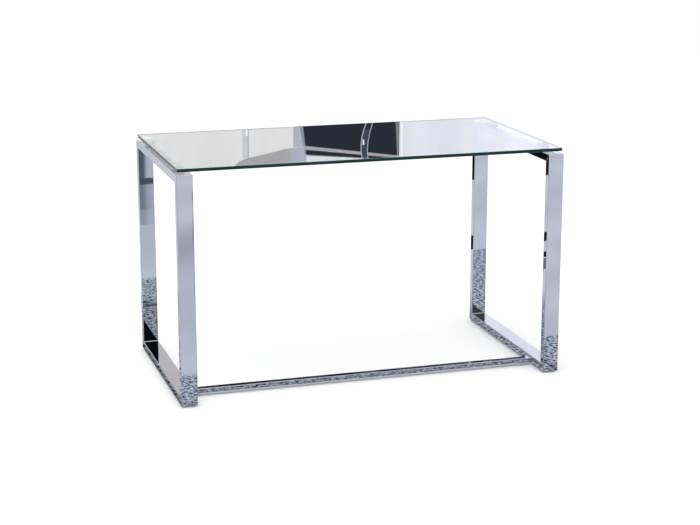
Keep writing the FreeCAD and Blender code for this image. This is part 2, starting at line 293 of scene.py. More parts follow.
def make_polish_marks():
    """Group: broad smudges times fine streaks, as a value from 0 to 1."""
    group, given, result = new_group("polish_marks", [("Smudge Scale", 9.0)], ["Marks"])
    smudges = noise(group, stretched(group, (1, 1, 1)), given.outputs["Smudge Scale"], 3.0, 0.6)
    streaks = noise(group, stretched(group, (90, 7, 7)), 6.0, 2.0, 0.6)
    spread = times_plus(group, smudges, 2.4, -0.85, clamp=True)
    marks = math_node(group, "MULTIPLY", spread, streaks, clamp=True)
    group.links.new(marks, result.inputs["Marks"])
    return group


def make_plating_waves():
    """Group: the height of very shallow waves a few centimetres long, as on plated tube."""
    group, given, result = new_group("plating_waves", [("Wave Scale", 14.0)], ["Height"])
    waves = noise(group, stretched(group, (1, 1, 1)), given.outputs["Wave Scale"], 1.0, 0.4)
    group.links.new(waves, result.inputs["Height"])
    return group


polish_marks = make_polish_marks()
plating_waves = make_plating_waves()


# %% Material helpers
def new_material(name, **settings):
    """A material with a Principled BSDF whose named inputs get plain values."""
    material = bpy.data.materials.new(name)
    material.use_nodes = True
    shader = material.node_tree.nodes["Principled BSDF"]
    for label, value in settings.items():
        shader.inputs[label.replace("_", " ")].default_value = value
    return material, material.node_tree, shader


def place_group(tree, group, **settings):
    """Put a node group into a material, with plain values for its named inputs."""
    node = tree.nodes.new("ShaderNodeGroup")
    node.node_tree = group
    for label, value in settings.items():
        node.inputs[label.replace("_", " ")].default_value = value
    return node


def vary_roughness(tree, shader, low, high, smudge_scale):
    """Roughness runs from low to high with the polish marks."""
    marks = place_group(tree, polish_marks, Smudge_Scale=smudge_scale)
    rise = times_plus(tree, marks.outputs["Marks"], high - low, low)
    tree.links.new(rise, shader.inputs["Roughness"])
    return marks.outputs["Marks"]


def bump(tree, shader, height, distance):
    """Tilt the surface as if it rose and fell by a distance in metres."""
    node = tree.nodes.new("ShaderNodeBump")
    node.inputs["Distance"].default_value = distance
    tree.links.new(height, node.inputs["Height"])
    tree.links.new(node.outputs["Normal"], shader.inputs["Normal"])


def blend_colours(tree, factor, first, second):
    """A colour between two fixed ones, chosen by a value from 0 to 1."""
    node = tree.nodes.new("ShaderNodeMix")
    node.data_type = "RGBA"
    tree.links.new(factor, node.inputs["Factor"])
    node.inputs["A"].default_value = (*first, 1)
    node.inputs["B"].default_value = (*second, 1)
    return node.outputs["Result"]


# %% [markdown]
# ## Welded loops
# Each end frame is four lengths of rectangular tube, cut at 45 degrees, welded, ground flush and
# only then plated, so it is one skin with softened corners.  Here a rounded section is carried
# round a rectangular path whose corners have a small radius of their own.  The same function
# makes the inside of the tube.  Round holes let the spacers' stems and the feet's studs through.

# %% Loops
WALL = 1.5 * MM
TUBE_CORNER = 2.0 * MM
GROUND_CORNER = 1.4 * MM
HOLE_CELL = 6.5 * MM
HOLE_STEPS = 32
STEM_HOLE = 4.1 * MM
STUD_HOLE = 4.5 * MM
CELL_STEP = CORNER_STEPS + 1
LOOP_PARTS = ("front_leg", "rear_leg", "top_rail", "bottom_rail")


def centre_of(node):
    """The middle of a frame node's box."""
    low, high = span(node)
    return (low + high) / 2


def tube_section(width, depth, corner):
    """A rounded rectangle (across, outwards) with two more points on its outer side for holes."""
    half = np.array([width, depth]) / 2
    section = outline(-half, half, corner)
    cell = np.array([[HOLE_CELL, half[1]], [-HOLE_CELL, half[1]]])
    return np.insert(section, CELL_STEP, cell, axis=0)


def loop_path(holes_above, holes_below):
    """Rings round the loop, as rows (depth side, fixed y, arc y, height side, arc z).

    For a section point w outwards from the tube's middle, a ring lies at
    y = side (half depth + w - r) + fixed + r cos a and z = side (half height + w - r) + r sin a.
    """
    quarter = np.linspace(0, np.pi / 2, CORNER_STEPS + 1)

    def corner(y_side, z_side, turn):
        """Rows of a quarter turn round one of the loop's four corners."""
        angles = quarter + turn * np.pi / 2
        ones = np.ones_like(angles)
        arc = GROUND_CORNER * np.stack([np.cos(angles), np.sin(angles)])
        return np.stack([y_side * ones, 0 * ones, arc[0], z_side * ones, arc[1]], axis=-1)

    def run(z_side, places):
        """Rows that stand still at some places along a rail, on both sides of its holes."""
        rows = [[0, place, 0, z_side, z_side * GROUND_CORNER] for place in places]
        return np.array(rows, float).reshape(-1, 5)

    edges = np.array([HOLE_CELL, -HOLE_CELL])
    above = np.concatenate([place + edges for place in sorted(holes_above, reverse=True)])
    below = np.concatenate([place - edges for place in sorted(holes_below)])
    return np.concatenate([
        corner(1, -1, -1), corner(1, 1, 0), run(1, above), corner(-1, 1, 1), corner(-1, -1, 2),
        run(-1, below),
    ])


def pierced(corners, first):
    """Faces between a square cell's four corners and the circle of points that starts at first."""
    step = np.arange(HOLE_STEPS)
    nearest = np.round((step + 0.5) * 4 / HOLE_STEPS).astype(int) % 4
    fans = np.stack([corners[nearest], first + (step + 1) % HOLE_STEPS, first + step], axis=-1)
    side = np.arange(4)
    middle = first + side * HOLE_STEPS // 4 + HOLE_STEPS // 8
    bridges = np.stack([corners, corners[(side + 1) % 4], middle], axis=-1)
    return np.concatenate([fans, bridges])


def hole_rim(y, z_side, radius, height):
    """A circle of points, seen from the tube's outside as anticlockwise."""
    turns = np.pi / 4 + np.arange(HOLE_STEPS) * 2 * np.pi / HOLE_STEPS
    return np.stack([
        radius * np.cos(turns),
        y + z_side * radius * np.sin(turns),
        np.full(HOLE_STEPS, height),
    ], axis=-1)


def hole_wall(first):
    """Quads from the outer rim, whose points start at first, to the inner rim that follows it."""
    outer = first + np.arange(HOLE_STEPS)
    following = first + (np.arange(HOLE_STEPS) + 1) % HOLE_STEPS
    return np.stack([outer, following, following + HOLE_STEPS, outer + HOLE_STEPS], axis=-1)


# %% Carry the section round
def loop_skin(path, section, middle, half_depth, half_height):
    """Points of one skin, as rings of section points."""
    across, out = section.T
    y = path[:, :1] * (half_depth + out - GROUND_CORNER) + path[:, 1:2] + path[:, 2:3]
    z = path[:, 3:4] * (half_height + out - GROUND_CORNER) + path[:, 4:5]
    x = np.broadcast_to(across, y.shape)
    return middle + np.stack([x, y - middle[1], z], axis=-1)


def make_loop(side):
    """The outer skin, the inner skin turned inside out, and the walls of four holes."""
    low = span(f"{side}_bottom_rail")[0]
    high = span(f"{side}_top_rail")[1]
    middle = (low + high) / 2
    width = high[0] - low[0]
    depth = span(f"{side}_front_leg")[1][1] - low[1]
    half_depth = (high[1] - low[1] - depth) / 2
    half_height = (high[2] - low[2] - depth) / 2
    stems = [centre_of(f"{side}_{end}_spacer")[1] for end in ENDS]
    studs = [centre_of(f"{side}_{end}_foot_stud")[1] for end in ENDS]
    path = loop_path(stems, studs)
    points = []
    for inset in (0, WALL):
        section = tube_section(width - 2 * inset, depth - 2 * inset, TUBE_CORNER - inset)
        skin = loop_skin(path, section, middle, half_depth, half_height)
        points.append(skin.reshape(-1, 3))
    rings, steps = skin.shape[:2]
    quads = ring_quads(rings, steps, closed=True)
    first = 2 * rings * steps
    cells = []
    holes = []
    for z_side, places, radius in ((1, stems, STEM_HOLE), (-1, studs, STUD_HOLE)):
        surface = z_side * (half_height + depth / 2)
        for place in places:
            near = (np.abs(path[:, 1] - place) < 2 * HOLE_CELL) & (path[:, 3] == z_side)
            cell = int(np.flatnonzero(near)[0]) * steps + CELL_STEP
            cells.append(cell)
            for height in (surface, surface - z_side * WALL):
                points.append(middle + hole_rim(place - middle[1], z_side, radius, height))
            holes.append(pierced(quads[cell], first))
            holes.append(pierced(quads[cell] + rings * steps, first + HOLE_STEPS)[:, ::-1])
            holes.append(hole_wall(first))
            first += 2 * HOLE_STEPS
    plain = np.delete(quads, cells, axis=0)
    faces = plain.tolist() + (plain[:, ::-1] + rings * steps).tolist()
    for patch in holes:
        faces += patch.tolist()
    loop = link_mesh(f"{side}_loop", np.concatenate(points), faces)
    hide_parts(*[f"{side}_{part}" for part in LOOP_PARTS])
    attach(loop, "table")
    return loop


loops = [make_loop(side) for side in SIDES]
for loop in loops:
    print(loop.name, "faces:", len(loop.data.polygons))

# %% [markdown]
# ## Chrome
# Chrome plate is a metal mirror with a cool grey colour, because it keeps back a little of the
# red.  Everything else about it is what it reflects.  Where two tubes were welded at a mitre and
# ground flush, a hair line still shows under the plating, and it is worked out here from the
# distance to the corner's diagonal.

# %% Chrome
CHROME_COLOUR = (0.475, 0.50, 0.565)
CHROME_MARKS = (0.42, 0.44, 0.49)
SEAM_WIDTH = 0.35 * MM
SEAM_GROOVE = -0.6
WAVE_HEIGHT = 0.12 * MM


def mitre_seam(tree):
    """1 on the mitre lines of both loops, 0 elsewhere.

    With a = half depth - |y| and b = the distance to the loop's top or bottom, whichever is
    nearer, a mitre is where a = b and a is less than the tube's depth.
    """
    low, high = span("left_front_leg")
    half_depth = -low[1]
    tube_depth = high[1] - low[1]
    axes = split_axes(tree, stretched(tree, (1, 1, 1)))
    across = math_node(tree, "SUBTRACT", half_depth, math_node(tree, "ABSOLUTE", axes["Y"]))
    over = math_node(tree, "SUBTRACT", axes["Z"], low[2])
    under = math_node(tree, "SUBTRACT", high[2], axes["Z"])
    nearest = math_node(tree, "MINIMUM", over, under)
    off_line = math_node(tree, "ABSOLUTE", math_node(tree, "SUBTRACT", across, nearest))
    on_line = math_node(tree, "LESS_THAN", off_line, SEAM_WIDTH)
    in_corner = math_node(tree, "LESS_THAN", across, tube_depth)
    return math_node(tree, "MULTIPLY", on_line, in_corner)


def make_chrome():
    """Plated tube: a mirror with faint marks, shallow waves and a groove along each mitre."""
    material, tree, shader = new_material("mirror_chrome", Metallic=1.0)
    marks = vary_roughness(tree, shader, 0.015, 0.06, 8.0)
    colour = blend_colours(tree, marks, CHROME_COLOUR, CHROME_MARKS)
    tree.links.new(colour, shader.inputs["Base Color"])
    waves = place_group(tree, plating_waves, Wave_Scale=11.0)
    groove = math_node(tree, "MULTIPLY", mitre_seam(tree), SEAM_GROOVE)
    height = math_node(tree, "ADD", waves.outputs["Height"], groove)
    bump(tree, shader, height, WAVE_HEIGHT)
    return material


chrome = make_chrome()
nodes["stretcher"].data.materials.clear()
for piece in (*loops, nodes["stretcher"]):
    piece.data.materials.append(chrome)

# %% [markdown]
# ## Glass top
# Float glass looks clear through its face and dark green through its edge, because light from
# the edge has crossed half a metre of it.  A renderer stops following light inside the pane long
# before that, so the polished edge is its own deep green finish here.  The ground bevels, called
# arrises, scatter light and look pale.  The pane is one profile carried round the outline.

# %% Glass pane
ARRIS = 1.0 * MM
GLASS_CORNER = 3.0 * MM
GLASS_TINT = (0.42, 0.62, 0.58)
TINT_PER_METRE = 9.0


def make_pane():
    """The pane: rings at (inset, height) rise through lower arris, polished edge, upper arris."""
    low, high = span("glass_top")
    rows = (
        (ARRIS, low[2]), (0.0, low[2] + ARRIS), (0.0, high[2] - ARRIS), (ARRIS, high[2]),
    )
    rings = []
    for inset, height in rows:
        ring = outline(low[:2] + inset, high[:2] - inset, GLASS_CORNER - inset)
        rings.append(np.column_stack([ring, np.full(len(ring), height)]))
    steps = len(rings[0])
    points = np.concatenate(rings)
    sides = ring_quads(len(rows), steps).tolist()
    lower_face = list(range(steps))[::-1]
    upper_face = list(range(len(points) - steps, len(points)))
    face, edge, arris = range(3)
    numbers = [arris] * steps + [edge] * steps + [arris] * steps + [face, face]
    return link_mesh("glass_pane", points, sides + [lower_face, upper_face], numbers, 20)


def make_clear_glass():
    """Clear float glass with a faint green depth and hardly any haze from wiping."""
    material, tree, shader = new_material(
        "float_glass", Base_Color=(1, 1, 1, 1), Transmission_Weight=1.0, IOR=1.52,
    )
    vary_roughness(tree, shader, 0.0, 0.012, 5.0)
    absorption = tree.nodes.new("ShaderNodeVolumeAbsorption")
    absorption.inputs["Color"].default_value = (*GLASS_TINT, 1)
    absorption.inputs["Density"].default_value = TINT_PER_METRE
    tree.links.new(absorption.outputs["Volume"], tree.nodes["Material Output"].inputs["Volume"])
    return material


def make_edge_glass():
    """The polished edge: deep green, with slow changes along its length."""
    material, tree, shader = new_material("polished_edge", IOR=1.35, Specular_IOR_Level=0.25)
    vary_roughness(tree, shader, 0.08, 0.2, 20.0)
    depths = noise(tree, stretched(tree, (1, 1, 4)), 7.0, 3.0)
    colour = blend_colours(tree, depths, (0.0005, 0.013, 0.009), (0.003, 0.034, 0.028))
    tree.links.new(colour, shader.inputs["Base Color"])
    return material


def make_arris_glass():
    """The ground bevel: a satin green with grinding grain."""
    material, tree, shader = new_material("ground_arris", IOR=1.4)
    grain = noise(tree, stretched(tree, (1, 1, 1)), 900.0, 2.0)
    colour = blend_colours(tree, grain, (0.010, 0.045, 0.040), (0.055, 0.13, 0.12))
    tree.links.new(colour, shader.inputs["Base Color"])
    vary_roughness(tree, shader, 0.35, 0.55, 30.0)
    bump(tree, shader, grain, 0.02 * MM)
    return material


pane = make_pane()
for finish in (make_clear_glass(), make_edge_glass(), make_arris_glass()):
    pane.data.materials.append(finish)
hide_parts("glass_top")
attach(pane, "table")
print("pane faces:", len(pane.data.polygons))

# %% [markdown]
# ## Clear spacers
# Each spacer is one moulding: a disc with a round edge and a barbed stem that snaps into the
# rail.  It is turned from a profile whose corners are softened, as a moulding's always are.

# %% Spacers
SPACER_EDGE = 0.8 * MM
SPACER_GAP = 0.03 * MM
RIM_BAND = 3 * MM
STEM_RADIUS = 4.0 * MM
BARB_BELOW = 1.7 * MM
CLEAR_PLASTIC_IOR = 1.49


def round_box(node):
    """A round node's lowest z, highest z, radius, and the place of its axis on the floor."""
    low, high = span(node)
    axis = np.array([(low[0] + high[0]) / 2, (low[1] + high[1]) / 2, 0])
    return low[2], high[2], (high[0] - low[0]) / 2, axis


def make_spacer(name, node):
    """Stem, barb and disc as one profile.  The barb sits just under the rail's wall."""
    bottom, top, rim, axis = round_box(node)
    rail_top = span(f"{node.split('_')[0]}_top_rail")[1][2]
    base = rail_top + SPACER_GAP
    top = top - SPACER_GAP
    barb = rail_top - BARB_BELOW
    corners = [
        (0, bottom), (STEM_RADIUS * 0.5, bottom), (STEM_RADIUS * 1.2, barb),
        (STEM_RADIUS, barb), (STEM_RADIUS, base), (rim, base), (rim, top),
        (rim - RIM_BAND, top), (0, top),
    ]
    radii, heights = rounded_profile(corners, SPACER_EDGE)
    return turned(name, radii, heights, axis, 96)


def make_clear_plastic():
    """A clear moulding that also scatters a little light, so that it shows on a pale ground."""
    material, tree, shader = new_material(
        "clear_moulding", Base_Color=(0.80, 0.94, 0.95, 1), Transmission_Weight=0.55,
        IOR=CLEAR_PLASTIC_IOR,
    )
    vary_roughness(tree, shader, 0.04, 0.12, 60.0)
    return material


clear_plastic = make_clear_plastic()
for corner in CORNERS:
    spacer = make_spacer(f"{corner}_clear_disc", f"{corner}_spacer")
    spacer.data.materials.append(clear_plastic)
    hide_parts(f"{corner}_spacer")
    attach(spacer, "table")

# %% [markdown]
# ## Levelling feet
# A foot is a threaded stud with a plastic glide moulded on its flange.  The thread is a real
# helix: the radius rises and falls with height, and the pattern turns once per pitch.  The glide
# has finger ribs, so that it can be turned by hand.

# %% Feet
THREAD_PITCH = 1.25 * MM
THREAD_DEPTH = 0.6 * MM
GLIDE_RIBS = 18
RIB_DEPTH = 0.5 * MM
RINGS_PER_TURN = 8
SHANK_RADIUS = 4.0 * MM
SHANK_TIP = 1.2 * MM
TIP_BEVEL = 1 * MM
FLANGE_HEIGHT = 1.5 * MM
GLIDE_BEVEL = 1 * MM
GLIDE_EDGE = 0.6 * MM
DISH_RIM = 6.5 * MM
DISH_FLOOR = 4.0 * MM
DISH_DEPTH = 0.4 * MM


def thread_wave(low, high):
    """A radius change for a thread between two heights.

    The saw |2 frac(height / pitch - angle / full turn) - 1| is 1 at a crest and 0 in a root.
    """
    def wave(heights, angles):
        """0 at a crest, minus the thread's depth in a root, 0 outside the two heights."""
        turns = heights / THREAD_PITCH - angles / (2 * np.pi)
        saw = np.abs(2 * (turns - np.floor(turns)) - 1)
        threaded = (heights > low) & (heights < high)
        return np.where(threaded, (saw - 1) * THREAD_DEPTH, 0.0)
    return wave


def make_stud(name, node):
    """A flange inside the glide, and a threaded shank with a bevelled tip."""
    bottom, top, flange, axis = round_box(node)
    flange_top = bottom + FLANGE_HEIGHT
    thread_low = span(node.replace("stud", "glide"))[1][2]
    thread_high = top - SHANK_TIP
    rings = np.arange(thread_low, thread_high, THREAD_PITCH / RINGS_PER_TURN)
    radii = np.concatenate([
        [0, flange, flange, SHANK_RADIUS],
        np.full(len(rings), SHANK_RADIUS),
        [SHANK_RADIUS - TIP_BEVEL, 0],
    ])
    heights = np.concatenate([[bottom, bottom, flange_top, flange_top], rings, [top, top]])
    return turned(name, radii, heights, axis, 48, thread_wave(thread_low, thread_high))


def make_glide(name, node):
    """A ribbed puck with a bevelled foot and a shallow dish round the shank."""
    bottom, top, rim, axis = round_box(node)
    dish = top - DISH_DEPTH
    corners = [
        (0, bottom), (rim - GLIDE_BEVEL, bottom), (rim, bottom + GLIDE_BEVEL), (rim, top),
        (DISH_RIM, top), (DISH_FLOOR, dish), (0, dish),
    ]
    radii, heights = rounded_profile(corners, GLIDE_EDGE)

    def ribs(heights, angles):
        """Shallow scallops (cos(ribs angle) - 1) / 2 on the rim's upright part."""
        upright = np.clip((heights - bottom - 0.5 * MM) / MM, 0, 1)
        upright = upright * np.clip((top - heights) / (0.3 * MM), 0, 1)
        return upright * RIB_DEPTH * (np.cos(GLIDE_RIBS * angles) - 1) / 2

    return turned(name, radii, heights, axis, 144, ribs)


def make_zinc():
    """Zinc plate: a grey metal with dull patches."""
    material, tree, shader = new_material("zinc_thread", Metallic=1.0)
    marks = vary_roughness(tree, shader, 0.28, 0.5, 40.0)
    colour = blend_colours(tree, marks, (0.50, 0.51, 0.53), (0.34, 0.34, 0.36))
    tree.links.new(colour, shader.inputs["Base Color"])
    return material


def make_black_plastic():
    """Moulded black plastic with a fine grain."""
    material, tree, shader = new_material("moulded_black", IOR=1.5)
    grain = noise(tree, stretched(tree, (1, 1, 1)), 1400.0, 2.0)
    colour = blend_colours(tree, grain, (0.012, 0.012, 0.013), (0.024, 0.024, 0.026))
    tree.links.new(colour, shader.inputs["Base Color"])
    vary_roughness(tree, shader, 0.42, 0.6, 50.0)
    bump(tree, shader, grain, 0.03 * MM)
    return material


zinc = make_zinc()
black_plastic = make_black_plastic()
for corner in CORNERS:
    stud = make_stud(f"{corner}_threaded_stud", f"{corner}_foot_stud")
    stud.data.materials.append(zinc)
    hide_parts(f"{corner}_foot_stud")
    glide = make_glide(f"{corner}_ribbed_glide", f"{corner}_foot_glide")
    glide.data.materials.append(black_plastic)
    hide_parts(f"{corner}_foot_glide")
    for piece in (stud, glide):
        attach(piece, f"{corner}_foot")

# %% [markdown]
# ## Hidden steel
# The spigots and weld nuts are plain steel, and the lock screws are blackened.  They hardly show,
# but a part that is taken apart still has to look like metal.


# %% Hidden steel
def make_plain_steel():
    """Bare steel, darker where it was handled."""
    material, tree, shader = new_material("plain_steel", Metallic=1.0)
    marks = vary_roughness(tree, shader, 0.35, 0.6, 30.0)
    colour = blend_colours(tree, marks, (0.36, 0.36, 0.37), (0.22, 0.21, 0.20))
    tree.links.new(colour, shader.inputs["Base Color"])
    return material


def make_black_oxide():
    """Blackened screw steel, worn a little paler on its high spots."""
    material, tree, shader = new_material("black_oxide", Metallic=1.0)
    marks = vary_roughness(tree, shader, 0.3, 0.5, 60.0)
    colour = blend_colours(tree, marks, (0.03, 0.03, 0.033), (0.08, 0.075, 0.07))
    tree.links.new(colour, shader.inputs["Base Color"])
    return material


plain_steel = make_plain_steel()
black_oxide = make_black_oxide()
for name, node in nodes.items():
    if name.endswith(("_spigot", "_foot_nut", "_lock_screw")):
        node.data.materials.clear()
        node.data.materials.append(black_oxide if name.endswith("_lock_screw") else plain_steel)

# %% [markdown]
# ## Stage
# The floor is plain and pale, and the light is soft and comes from all round.  Chrome and glass
# show nothing but their surroundings, so reflections alone see more of a room: a deep pile
# carpet, a sky that is brighter on one side, and flat cards.  The cards stand for a dark screen,
# drapes and a chair's marks, as cards in a studio give metal its contrast.


# %% Stage helpers
def map_range(tree, value, source, target, smooth=True):
    """Carry a value from one range to another, clamped, along a smooth or a straight ramp."""
    node = tree.nodes.new("ShaderNodeMapRange")
    node.interpolation_type = "SMOOTHSTEP" if smooth else "LINEAR"
    for label, number in zip(("From Min", "From Max", "To Min", "To Max"), (*source, *target)):
        node.inputs[label].default_value = number
    tree.links.new(value, node.inputs["Value"])
    return node.outputs["Result"]


def colour_stops(tree, value, stops):
    """A colour ramp from (place, colour) pairs."""
    node = tree.nodes.new("ShaderNodeValToRGB")
    elements = node.color_ramp.elements
    while len(elements) < len(stops):
        elements.new(0.5)
    for element, (place, colour) in zip(elements, stops):
        element.position = place
        element.color = (*colour, 1)
    tree.links.new(value, node.inputs["Fac"])
    return node.outputs["Color"]


def outside_rectangle(tree, axes, half_x, half_y):
    """Distance from a rectangle round the origin: hypot(max(|x| - a, 0), max(|y| - b, 0))."""
    squares = []
    for axis, half in (("X", half_x), ("Y", half_y)):
        beyond = math_node(tree, "SUBTRACT", math_node(tree, "ABSOLUTE", axes[axis]), half)
        beyond = math_node(tree, "MAXIMUM", beyond, 0.0)
        squares.append(product(tree, beyond, beyond))
    return math_node(tree, "SQRT", math_node(tree, "ADD", squares[0], squares[1]))


def for_reflections(tree, choice, plain, reflected, output):
    """Show the plain shader where choice is 0, and the reflected one where it is 1."""
    mix = tree.nodes.new("ShaderNodeMixShader")
    tree.links.new(choice, mix.inputs["Fac"])
    tree.links.new(plain, mix.inputs[1])
    tree.links.new(reflected, mix.inputs[2])
    tree.links.new(mix.outputs["Shader"], output.inputs["Surface"])


# %% [markdown]
# ## Carpet and floor
# Where polished metal stands on a deep pile, it mirrors the tufts as light and dark grains.  The
# grains are a noise with a steep ramp, and a mask says where the pile lies.  Round it, the floor
# that reflections see gets a painted shade towards the table, as a floor under furniture is
# shaded.

# %% Carpet
CARPET_FRONT = -0.655
CARPET_SOFT = 0.03
CARPET_RAGGED = 0.06
CARPET_SLOPE = 0.054
CARPET_ENDS = (1.00, 1.12)
CARPET_REAR = (0.27, 0.35)
STRIP_SIDE = (-0.66, -0.62)
STRIP_REAR = (0.95, 1.10)
UNDER_TABLE = (0.03, 0.08)
PILE_PER_METRE = 78.0
PILE_SHADES = (0.05, 1.15)
BESIDE_ENDS = 0.035
BESIDE_SHADE = 0.35


def carpet_mask(tree, vector, axes, far):
    """1 where the pile lies, 0 elsewhere.

    The pile lies under the table, in front of it up to a slightly slanted, ragged edge, and
    further back in a strip to the left of it.
    """
    slope = product(tree, axes["X"], CARPET_SLOPE)
    ragged = product(tree, noise(tree, vector, 14.0, 3.0), CARPET_RAGGED)
    edge = math_node(tree, "ADD", axes["Y"], math_node(tree, "ADD", ragged, slope))
    front = map_range(tree, edge, (CARPET_FRONT, CARPET_FRONT + CARPET_SOFT), (0, 1))
    ends = map_range(tree, math_node(tree, "ABSOLUTE", axes["X"]), CARPET_ENDS, (1, 0))
    strip_side = map_range(tree, axes["X"], STRIP_SIDE, (1, 0))
    strip = product(tree, strip_side, map_range(tree, axes["Y"], STRIP_REAR, (1, 0)))
    rear = map_range(tree, axes["Y"], CARPET_REAR, (1, 0))
    around = product(tree, front, ends, math_node(tree, "MAXIMUM", rear, strip))
    return math_node(tree, "MAXIMUM", around, map_range(tree, far, UNDER_TABLE, (1, 0)))


def pile_shade(tree, vector, axes, far):
    """Light and dark tufts, with painted shade close to the table, darkest just beside its ends.
    """
    tufts = noise(tree, vector, PILE_PER_METRE, 3.0, 0.65)
    grains = map_range(tree, tufts, (0.38, 0.62), PILE_SHADES)
    # Painted shade: the pile darkens close to the table, and most just beside its ends.
    shadow = map_range(tree, far, (0.0, 0.07), (0.74, 1.05))
    side = math_node(tree, "ABSOLUTE", axes["X"])
    end = cad_box[1][0]
    step = end + 1 * MM
    inside = map_range(tree, side, (end, step), (1, 0))
    beside = map_range(tree, side, (step, end + BESIDE_ENDS), (BESIDE_SHADE, 1))
    return product(tree, grains, shadow, math_node(tree, "MAXIMUM", inside, beside))


# %% Plain floor
FLOOR_HALF = 30.0
SHADY_SPOT = (-0.10, -2.40, 0)
PALE = (0.93, 0.93, 0.935)
BEHIND_GLASS = (0.40, 0.40, 0.405)
PLAIN_TINT = (0.98, 1.005, 1.07)
CARPET_TINT = (0.92, 0.985, 1.10)


def distance_from(tree, vector, place):
    """How far each point lies from one place."""
    node = tree.nodes.new("ShaderNodeVectorMath")
    node.operation = "DISTANCE"
    node.inputs[1].default_value = place
    tree.links.new(vector, node.inputs[0])
    return node.outputs["Value"]


def plain_shade(tree, vector, axes, far):
    """Broad drifts, painted shade near the table, darker round a spot in front and far left."""
    drifts = map_range(tree, noise(tree, vector, 1.1, 1.0), (0.3, 0.7), (0.90, 1.08))
    spot = map_range(tree, distance_from(tree, vector, SHADY_SPOT), (0.05, 0.55), (0.74, 1.0))
    left = map_range(tree, axes["X"], (-1.05, -0.90), (0.80, 1.0))
    # Painted shade: the floor that reflections see darkens towards the table.
    near = map_range(tree, far, (0.03, 0.38), (0.48, 1.0))
    return product(tree, drifts, spot, left, near)


def mirrored_floor(tree, vector):
    """The glow that reflections see in place of the floor: the pile and the plain shade."""
    axes = split_axes(tree, vector)
    far = outside_rectangle(tree, axes, cad_box[1][0], cad_box[1][1])
    mask = carpet_mask(tree, vector, axes, far)
    shade = tree.nodes.new("ShaderNodeMix")
    tree.links.new(mask, shade.inputs["Factor"])
    tree.links.new(plain_shade(tree, vector, axes, far), shade.inputs["A"])
    tree.links.new(pile_shade(tree, vector, axes, far), shade.inputs["B"])
    seen = tree.nodes.new("ShaderNodeEmission")
    tree.links.new(blend_colours(tree, mask, PLAIN_TINT, CARPET_TINT), seen.inputs["Color"])
    tree.links.new(shade.outputs["Result"], seen.inputs["Strength"])
    return seen.outputs["Emission"]


def make_floor():
    """A plain pale floor.

    Seen through the pane at a low angle it is greyer with distance, so that the glass shows what
    it mirrors more than what lies behind it, as a real table top does in a room.  A ray that
    comes through glass also counts as glossy, so the difference of the two marks a reflection.
    """
    corners = np.array([[-1, -1, 0], [1, -1, 0], [1, 1, 0], [-1, 1, 0]]) * FLOOR_HALF
    floor = link_mesh("floor", corners, [[0, 1, 2, 3]])
    material, tree, shader = new_material(
        "pale_floor", Base_Color=(*PALE, 1), Roughness=0.9, Specular_IOR_Level=0.1,
    )
    vector = stretched(tree, (1, 1, 1))
    rays = tree.nodes.new("ShaderNodeLightPath")
    glossy = rays.outputs["Is Glossy Ray"]
    transmitted = rays.outputs["Is Transmission Ray"]
    distant = map_range(tree, distance_from(tree, vector, (0, 0, 0)), (1.2, 2.6), (0, 1))
    through = product(tree, transmitted, distant)
    tree.links.new(blend_colours(tree, through, PALE, BEHIND_GLASS), shader.inputs["Base Color"])
    mirrored = math_node(tree, "SUBTRACT", glossy, transmitted, clamp=True)
    output = tree.nodes["Material Output"]
    seen = mirrored_floor(tree, vector)
    for_reflections(tree, mirrored, shader.outputs["BSDF"], seen, output)
    floor.data.materials.append(material)
    return floor


floor = make_floor()
print("floor side in metres:", 2 * FLOOR_HALF)

# %% [markdown]
# ## Sky
# A lit world is the simplest soft light.  The lamp adds a slight sense of above.  Reflections
# see two bands of colour in the sky, one near the horizon and one above it, with faint folds.

# %% Sky
LOW_SKY = (
    (0.00, (1.04, 1.03, 1.03)), (0.20, (1.03, 1.01, 1.01)), (0.256, (0.99, 0.97, 0.96)),
    (0.260, (0.94, 0.93, 1.04)), (0.32, (1.02, 1.03, 1.16)), (0.36, (1.08, 1.10, 1.24)),
    (0.38, (1.20, 1.23, 1.38)), (1.00, (1.14, 1.16, 1.26)),
)
HIGH_SKY = (
    (0.00, (0.90, 0.86, 0.85)), (0.20, (0.86, 0.81, 0.79)), (0.32, (1.10, 1.12, 1.20)),
    (0.37, (1.20, 1.22, 1.31)), (1.00, (1.10, 1.10, 1.16)),
)
BAND_HEIGHT = (0.195, 0.255)
FOLD_SCALE = (30, 4, 6)
CAMERA_SKY = 1.09
UNDER_PANE = 0.62


def sky_colour(tree, direction):
    """One row of colours near the horizon, another above it, both from left to right."""
    axes = split_axes(tree, direction)
    bands = tree.nodes.new("ShaderNodeMix")
    bands.data_type = "RGBA"
    high = map_range(tree, axes["Z"], BAND_HEIGHT, (0, 1))
    tree.links.new(high, bands.inputs["Factor"])
    tree.links.new(colour_stops(tree, axes["X"], LOW_SKY), bands.inputs["A"])
    tree.links.new(colour_stops(tree, axes["X"], HIGH_SKY), bands.inputs["B"])
    return bands.outputs["Result"]


def sky_strength(tree, direction, rays):
    """Faint upright folds, and dimmer for what is mirrored below the pane and seen through it.

    Such a ray has crossed the pane's two faces on its way down and again on its way up.
    """
    mapping = tree.nodes.new("ShaderNodeMapping")
    mapping.inputs["Scale"].default_value = FOLD_SCALE
    tree.links.new(direction, mapping.inputs["Vector"])
    folds = noise(tree, mapping.outputs["Vector"], 1.6, 3.0)
    folds = map_range(tree, folds, (0.3, 0.7), (0.94, 1.05))
    crossings = rays.outputs["Transmission Depth"]
    return product(tree, folds, map_range(tree, crossings, (3, 4), (1.0, UNDER_PANE), False))


